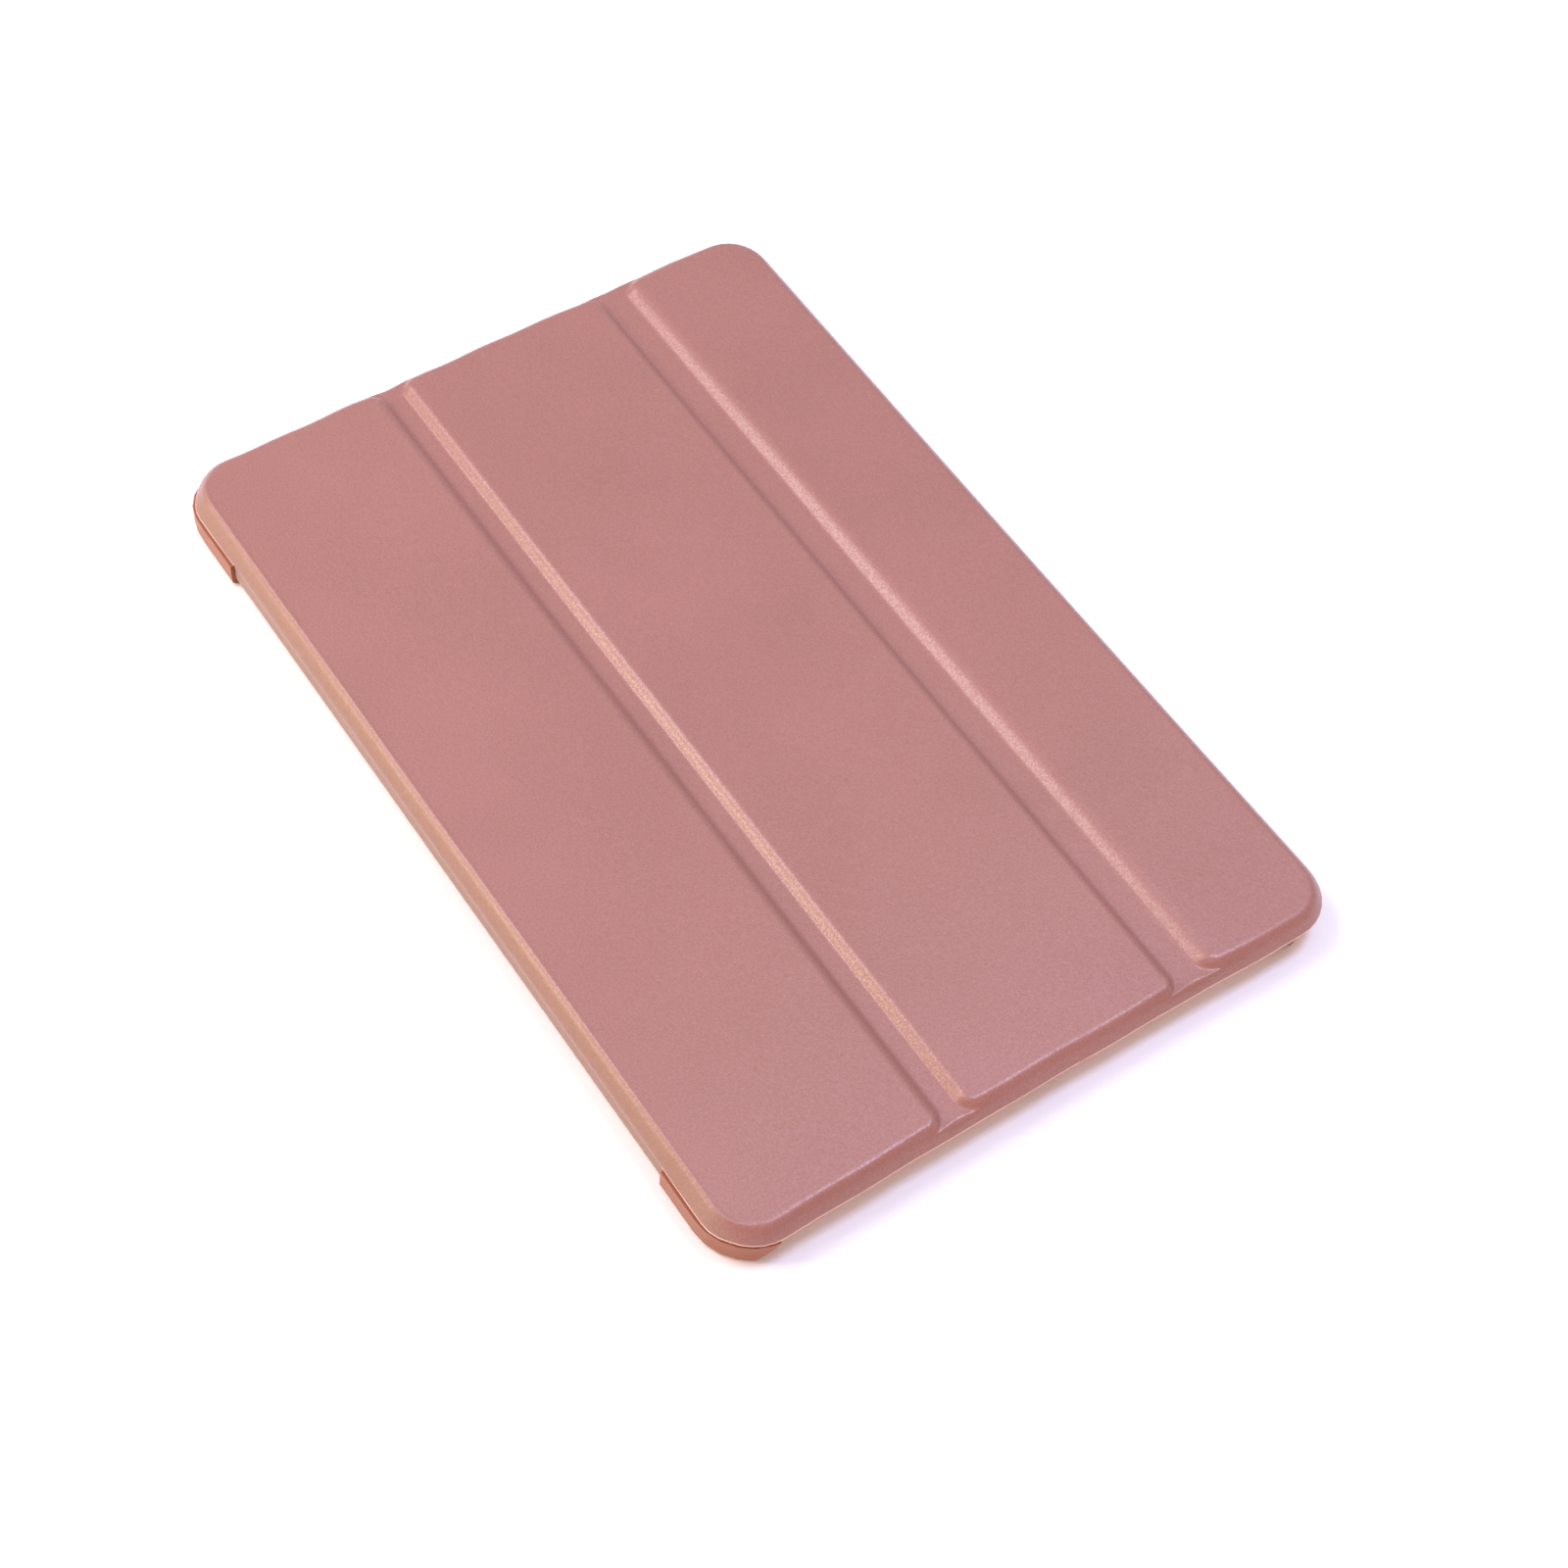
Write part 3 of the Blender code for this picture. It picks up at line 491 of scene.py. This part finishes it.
# Slot: darker and lighter colour, roughness, grain and bump depth in millimetres, more inputs.
PLAIN_LOOKS = {
    "lining": ((0.72, 0.43, 0.35), (0.80, 0.50, 0.41), 0.9, 0.22, 0.05,
               {"follows_rest": True, "Sheen_Weight": 0.5, "Sheen_Roughness": 0.5}),
    "greyboard": ((0.30, 0.28, 0.26), (0.40, 0.38, 0.35), 0.9, 0.3, 0.03, {}),
    "shell_plastic": ((0.32, 0.122, 0.070), (0.35, 0.134, 0.077), 0.42, 0.25, 0.006,
                      {"Subsurface_Weight": 0.15, "Subsurface_Scale": 0.003, "Specular_IOR_Level": 0.25}),
    "aluminium": ((0.60, 0.52, 0.49), (0.66, 0.57, 0.54), 0.36, 0.12, 0.004, {"Metallic": 0.9}),
    "glass": ((0.004, 0.004, 0.005), (0.007, 0.007, 0.009), 0.06, 6.0, 0.0005,
              {"Coat_Weight": 0.6, "Coat_Roughness": 0.03}),
    "display": ((0.01, 0.01, 0.014), (0.016, 0.016, 0.02), 0.25, 2.0, 0.001, {}),
    "steel": ((0.50, 0.50, 0.52), (0.60, 0.60, 0.61), 0.34, 0.2, 0.003, {"Metallic": 1.0}),
    "circuit_board": ((0.01, 0.06, 0.03), (0.02, 0.09, 0.045), 0.4, 0.6, 0.01, {}),
    "black_plastic": ((0.012, 0.012, 0.013), (0.02, 0.02, 0.02), 0.45, 0.2, 0.01, {}),
    "battery_wrap": ((0.025, 0.025, 0.028), (0.04, 0.04, 0.042), 0.5, 0.7, 0.01, {}),
    "flex_film": ((0.32, 0.14, 0.02), (0.42, 0.20, 0.04), 0.25, 0.5, 0.004, {}),
    "rubber": ((0.02, 0.02, 0.02), (0.035, 0.035, 0.035), 0.8, 0.15, 0.02, {}),
    "magnet": ((0.45, 0.45, 0.46), (0.55, 0.55, 0.55), 0.3, 0.3, 0.004, {"Metallic": 1.0}),
    "button_white": ((0.74, 0.73, 0.72), (0.80, 0.79, 0.78), 0.25, 0.4, 0.002, {}),
}

leather = leather_material()
LOOKS = {slot: plain_material(slot + "_look", *values, **more)
         for slot, (*values, more) in PLAIN_LOOKS.items()}

# ---------------------------------------------------------------- cover leather

# Rings of the rim: distance from the lip, and a height where the ring sets its own.
RIM_DISTANCES = (4.1, 3.7, 3.3, 2.9, 2.6, 2.4, 2.2, 2.0, 1.8, 1.6, 1.4, 1.2, 1.0, 0.75, 0.45, 0.15)
LIP_TURN_Z = 6.88
RINGS = [(d, None) for d in RIM_DISTANCES] + [(0.0, LIP_TURN_Z), (0.0, CUT_EDGE[1])]


def bowed(x, y):
    """The free edge is drawn in a little at the middle of its length."""
    return x - 0.4 * (1 - (y / HALF_Y) ** 2) * smooth01((x - 45.0) / 25.0)


def pulled(x, y):
    """The near edge is drawn in along its middle, and both ends are a little uneven."""
    near = 0.5 * np.maximum(1 - ((x + 10.0) / 62.0) ** 2, 0) - 0.3 * smooth01((x - 30.0) / 40.0)
    near = near + 0.05 * np.sin(x / 2.9) + 0.05 * np.sin(x / 4.7 + 1.0)
    far = 0.13 * np.sin(x / 2.6 + 0.7) + 0.10 * np.sin(x / 5.9)
    return y + near * smooth01((-y - 60.0) / 44.0) + far * smooth01((y - 99.0) / 5.0)


def cover_points(sheet, rings, height):
    """Points of a cover sheet. height(x, y, d) gives z; a ring may set its own z."""
    x, y = sheet.grid_xy.T
    parts = [np.stack([x, y, height(x, y, np.full(len(x), INSET))], 1)]
    for ring in rings:
        d, z_set = ring
        xy = sheet.grid_xy[sheet.loop_index] + sheet.normals * (INSET - d)
        x, y = xy.T
        z = height(x, y, np.full(len(x), d)) if z_set is None else np.full(len(x), z_set)
        parts.append(np.stack([x, y, z], 1))
    points = np.concatenate(parts)
    x, y = points[:, 0].copy(), points[:, 1].copy()
    points[:, 0] = bowed(spread(x, y), y)
    points[:, 1] = pulled(x, y)
    return points


def outside_height(x, y, d):
    """Height of the leather's outside at a distance d inside the lip."""
    in_groove = sum(np.exp(-((x - middle) / 3.2) ** 2) for middle in GROOVE_MIDDLES)
    turn = FOOT_ROUND + 1.5 * in_groove
    base = LIP_HIGH + SLOPE * d - soft_rise(SLOPE * (d - RIM_RUN), turn)
    pads = pad_height(x, y)
    return base + pads + waviness(x, y) * smooth01((d - 0.1) / 3.0)


def catmull(points, per_span=40):
    """Fine Catmull-Rom curve through the points, as an array."""
    p = np.array(points, float)
    p = np.concatenate([[2 * p[0] - p[1]], p, [2 * p[-1] - p[-2]]])
    out = []
    for a, b, c, d in zip(p[:-3], p[1:-2], p[2:-1], p[3:]):
        for t in np.linspace(0, 1, per_span, endpoint=False):
            out.append(0.5 * (2 * b + (c - a) * t + (2 * a - 5 * b + 4 * c - d) * t * t
                              + (3 * b - a - 3 * c + d) * t ** 3))
    out.append(p[-2])
    return np.array(out)


def spine_stations():
    """Points of the spine profile, close together where it bends at its hinges."""
    curve = catmull(SPINE_PROFILE)
    run = np.concatenate([[0], np.cumsum(np.linalg.norm(np.diff(curve, axis=0), axis=1))])

    def run_at(x, z):
        return run[np.argmin(np.hypot(curve[:, 0] - x, curve[:, 1] - z))]

    marks = [0.0, run_at(-69.36, 5.1), run_at(-69.4, SPINE_CUT_Z), run_at(-69.36, 2.3),
             run_at(-67.7, 0.0), run[-1]]
    places = [0.0]
    for (a, b), step in zip(zip(marks, marks[1:]), (0.1, 0.3, 0.35, 0.14, 2.2)):
        places += grown(a, b, max(1, round((b - a) / step)))
    places = np.array(places)
    stations = np.stack([np.interp(places, run, curve[:, k]) for k in (0, 1)], 1)
    cut = int(np.argmin(np.abs(places - marks[2])))
    return stations, cut


def build_cover_leather():
    """The leather as one skin, cut into strips."""
    columns = column_places()
    shares = row_shares(fine=True)
    sheet = Sheet(columns, shares)
    sheet.rim_quads(len(RINGS))
    points = cover_points(sheet, RINGS, outside_height)

    # The spine leather hangs from the lip points of the left side that lie in the notch.
    count = len(sheet.loop)
    lip_start = sheet.nc * sheet.nr + (len(RINGS) - 1) * count
    in_notch = [k for k, (c, _) in enumerate(sheet.loop)
                if c == 0 and NOTCH[0] - 0.01 < points[lip_start + k][1] < NOTCH[1] + 0.01]
    in_notch.sort(key=lambda k: -points[lip_start + k][1])
    stations, cut = spine_stations()
    previous = [lip_start + k for k in in_notch]
    ys = points[previous][:, 1]
    quads, zones = list(sheet.quads), list(sheet.zones)
    start = len(points)
    extra = []
    for s, (x, z) in enumerate(stations[1:]):
        current = [start + s * len(ys) + k for k in range(len(ys))]
        extra.append(np.stack([np.full(len(ys), x), ys, np.full(len(ys), z)], 1))
        for k in range(len(ys) - 1):
            quads.append((previous[k], current[k], current[k + 1], previous[k + 1]))
            zones.append(("apron" if s < cut else "flap", 0))
        previous = current
    points = np.concatenate([points] + extra)
    normals = vertex_normals(points, quads)
    thickness = np.full(len(points), LEATHER)
    thickness[start:] = SPINE_LEATHER
    inside = points - normals * thickness[:, None]

    spine_strips = {"apron": "spine_front", "notch": "spine_front", "flap": "spine_back"}
    groups = {}
    for quad, zone in zip(quads, zones):
        strip = spine_strips.get(zone[0]) or strip_name(columns, zone[1])
        groups.setdefault("cover_leather_" + strip, []).append(quad)
    return {name: thick_piece(name, points, inside, qs, leather) for name, qs in groups.items()}


# The bends: for each strip its first and second body, and the start and end of its bend; a point before
# start would follow the first body, and one past end the second. Here only the strips' names are read.
FOLDS = {
    "spine_back": ("case_root", "spine", (-68.3, 0.3), (-69.3, 1.8)),
    "spine_front": ("spine", "panel_1", (-69.6, 5.2), (-69.6, 6.1)),
    "groove_1_left": ("panel_1", "groove_1", (-23.6, 8.9), (-21.8, 8.9)),
    "groove_1_right": ("groove_1", "panel_2", (-18.2, 8.9), (-16.4, 8.9)),
    "groove_2_left": ("panel_2", "groove_2", (30.3, 8.9), (32.1, 8.9)),
    "groove_2_right": ("groove_2", "panel_3", (37.0, 8.9), (38.8, 8.9)),
}
LEATHER_NODES = {
    "spine_back": "back_leather_flap",
    "spine_front": "spine_leather",
    "panel_1_left": "panel_1_leather",
    "groove_1_left": "groove_1_strip",
    "groove_1_right": "panel_2_leather",
    "groove_2_left": "groove_2_strip",
    "groove_2_right": "panel_3_leather",
}
LINING_NODES = {
    "spine_front": "spine_lining",
    "panel_1_left": "panel_1_lining",
    "groove_1_right": "panel_2_lining",
    "groove_2_right": "panel_3_lining",
}


def attach(pieces, slot_name, replaced_nodes):
    """Pieces of a strip listed in FOLDS keep their place in the world; the others ride on panel 1. A piece
    may stand for a CAD node, which is then hidden.
    """
    for name, piece in pieces.items():
        strip = name.removeprefix(slot_name + "_")
        if strip in FOLDS:
            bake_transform(piece)
        else:
            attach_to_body(piece, "panel_1")
        if strip in replaced_nodes:
            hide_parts(replaced_nodes[strip])


attach(build_cover_leather(), "cover_leather", LEATHER_NODES)

# ---------------------------------------------------------------- lining

LINING_TOP_Z, LINING_LOW_Z = 8.2, 7.9
SPINE_LINING_GAP, SPINE_LINING = 0.03, 0.37     # glue gap to the leather, and thickness
SPINE_LINING_FOOT = 1.35                        # height where it ends, over the shell's edge
CUT_EDGE_OUT = 0.1      # the cut edge stands out from under the leather


def build_lining():
    """The cover's lining: flat inside the rim, and turned down to a cut edge under the lip."""
    columns = column_places()
    shares = row_shares(fine=False)
    sheet = Sheet(columns, shares)
    low_z, high_z = CUT_EDGE
    top_rings = [(3.2, LINING_TOP_Z), (1.75, LINING_TOP_Z), (0.72, high_z), (-CUT_EDGE_OUT, high_z)]
    low_rings = [(3.2, LINING_LOW_Z), (2.1, LINING_LOW_Z), (1.1, low_z), (-CUT_EDGE_OUT, low_z)]
    sheet.rim_quads(len(top_rings))
    top = cover_points(sheet, top_rings, lambda x, y, d: np.full(len(x), LINING_TOP_Z))
    low = cover_points(sheet, low_rings, lambda x, y, d: np.full(len(x), LINING_LOW_Z))
    groups = {}
    for quad, zone in zip(sheet.quads, sheet.zones):
        if zone[0] == "notch" and zone[2] == len(top_rings) - 1:
            continue
        groups.setdefault("lining_" + strip_name(columns, zone[1]), []).append(quad)
    return {name: thick_piece(name, top, low, qs, LOOKS["lining"]) for name, qs in groups.items()}


def build_spine_lining():
    """Lining on the inside of the spine, from just over the shell's edge up to the cover's lining."""
    stations, cut = spine_stations()
    tangent = np.gradient(stations, axis=0)
    tangent /= np.linalg.norm(tangent, axis=1)[:, None]
    inward = np.stack([-tangent[:, 1], tangent[:, 0]], 1)
    keep = [k for k in range(len(stations)) if stations[k][1] > SPINE_LINING_FOOT]
    cut = keep.index(cut)
    ys = np.linspace(NOTCH[0] + 0.3, NOTCH[1] - 0.3, LINING_ROWS)
    near = SPINE_LEATHER + SPINE_LINING_GAP
    faces_mm = []
    for offset in (near, near + SPINE_LINING):
        line = stations[keep] + inward[keep] * offset
        faces_mm.append(np.array([(x, y, z) for x, z in line for y in ys]))
    outside, inside = faces_mm
    groups = {"lining_spine_front": [], "lining_spine_back": []}
    n = len(ys)
    for s in range(len(keep) - 1):
        for k in range(n - 1):
            a = s * n + k
            name = "lining_spine_front" if s < cut else "lining_spine_back"
            groups[name].append((a, a + 1, a + n + 1, a + n))
    return {name: thick_piece(name, outside, inside, qs, LOOKS["lining"]) for name, qs in groups.items()}


attach({**build_lining(), **build_spine_lining()}, "lining", LINING_NODES)

# ---------------------------------------------------------------- CAD nodes that stay

def soften(node, width_mm):
    """Small rounded edges and clean shading on a CAD node, through modifiers only."""
    node.data.polygons.foreach_set("use_smooth", [True] * len(node.data.polygons))
    weld = node.modifiers.new("weld", "WELD")
    weld.merge_threshold = 0.00001
    bevel = node.modifiers.new("bevel", "BEVEL")
    bevel.width = width_mm * MM
    bevel.segments = 2
    bevel.limit_method = "ANGLE"
    bevel.angle_limit = radians(35)
    bevel.use_clamp_overlap = True
    normal = node.modifiers.new("normals", "WEIGHTED_NORMAL")
    normal.keep_sharp = True


SOFTENED_MM = {"case_back_shell": 0.25, "rear_housing": 0.1, "front_glass": 0.12}

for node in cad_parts.values():
    if node.hide_render:
        continue
    slot_name = node.data.materials[0].name.split(".")[0]
    for k in range(len(node.data.materials)):
        node.data.materials[k] = LOOKS[slot_name]
for name, width_mm in SOFTENED_MM.items():
    soften(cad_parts[name], width_mm)

# ---------------------------------------------------------------- floor, light, camera

def area_light(name, place_mm, size_mm, power, colour):
    """Square lamp that faces the object's centre."""
    data = bpy.data.lights.new(name, "AREA")
    data.shape, data.size, data.energy, data.color = "SQUARE", size_mm * MM, power, colour
    lamp = bpy.data.objects.new(name, data)
    bpy.context.scene.collection.objects.link(lamp)
    lamp.location = [v * MM for v in place_mm]
    back = np.array(place_mm, float)
    back /= np.linalg.norm(back)
    side = np.cross((0, 0, 1), back)
    side /= np.linalg.norm(side)
    up = np.cross(back, side)
    lamp.rotation_euler = Matrix(np.stack([side, up, back], 1).tolist()).to_euler()


COOL_SIDE = (0.20, 0.93, 0.30)      # the surroundings are warm on the opposite side
WARM_SKY, COOL_SKY = (0.98, 0.62, 0.48), (0.67, 0.69, 0.74)
BACKDROP = (0.93, 0.92, 0.93)       # what the camera sees past the floor
FLOOR_HALF = 4.0                    # metres
FLOOR_TONES = ((0.3, (0.94, 0.93, 0.95)), (0.7, (0.96, 0.95, 0.97)))

# Lamp: place and size in millimetres, power in watts, colour.
LAMPS = {
    "key": ((-990, 545, 495), 280, 5.6, (1.0, 0.95, 0.70)),
    "top": ((300, -90, 950), 260, 5.0, (0.55, 0.66, 1.0)),
    "back": ((-400, 430, 770), 440, 5.0, (0.97, 0.93, 1.0)),
}


def studio_world():
    """Pale studio surroundings, cool behind the spine side and warm towards the near right."""
    world = bpy.data.worlds.new("studio")
    world.use_nodes = True
    nt = world.node_tree
    background = next(n for n in nt.nodes if n.type == "BACKGROUND")
    direction = nt.nodes.new("ShaderNodeTexCoord").outputs["Generated"]
    along = nt.nodes.new("ShaderNodeVectorMath")
    along.operation = "DOT_PRODUCT"
    along.inputs[1].default_value = COOL_SIDE
    nt.links.new(direction, along.inputs[0])
    share = mapped(nt, along.outputs["Value"], -0.6, 0.4, 0.0, 1.0)
    seen = nt.nodes.new("ShaderNodeLightPath").outputs["Is Camera Ray"]
    nt.links.new(mixed(nt, seen, mixed(nt, share, WARM_SKY, COOL_SKY), BACKDROP), background.inputs[0])
    background.inputs[1].default_value = 1.0
    return world


def make_stage():
    corners = [(x * FLOOR_HALF, y * FLOOR_HALF, 0) for x, y in ((-1, -1), (1, -1), (1, 1), (-1, 1))]
    mesh = bpy.data.meshes.new("floor")
    mesh.from_pydata(corners, [], [(0, 1, 2, 3)])
    floor = bpy.data.objects.new("floor", mesh)
    bpy.context.scene.collection.objects.link(floor)
    floor_look, nt, bsdf, mm = start_material("floor_look")
    nt.links.new(ramp(nt, noise(nt, mm, 0.02, 2), FLOOR_TONES), bsdf.inputs["Base Color"])
    bsdf.inputs["Roughness"].default_value = 0.8
    mesh.materials.append(floor_look)

    bpy.context.scene.world = studio_world()
    for name, lamp in LAMPS.items():
        area_light(name, *lamp)


def make_camera():
    """Camera of the photograph: turned round the object, tilted down and rolled a little."""
    azimuth, elevation, roll = radians(38.75), radians(55.44), radians(5.75)
    distance, aim = 584.85, np.array((-1.71, -20.16, 0.0))
    back = np.array((-sin(azimuth) * cos(elevation), -cos(azimuth) * cos(elevation), sin(elevation)))
    right = np.cross(-back, (0, 0, 1))
    right /= np.linalg.norm(right)
    up = np.cross(right, -back)
    right_rolled = cos(roll) * right + sin(roll) * up
    up_rolled = -sin(roll) * right + cos(roll) * up
    data = bpy.data.cameras.new("camera")
    data.sensor_width, data.lens = 36.0, 67.9
    data.clip_start, data.clip_end = 0.01, 20
    camera = bpy.data.objects.new("camera", data)
    bpy.context.scene.collection.objects.link(camera)
    turn = Matrix(np.stack([right_rolled, up_rolled, back], 1).tolist())
    camera.matrix_world = Matrix.Translation(((aim + back * distance) * MM).tolist()) @ turn.to_4x4()
    bpy.context.scene.camera = camera


make_stage()
make_camera()
bpy.context.scene.view_settings.view_transform = "Standard"
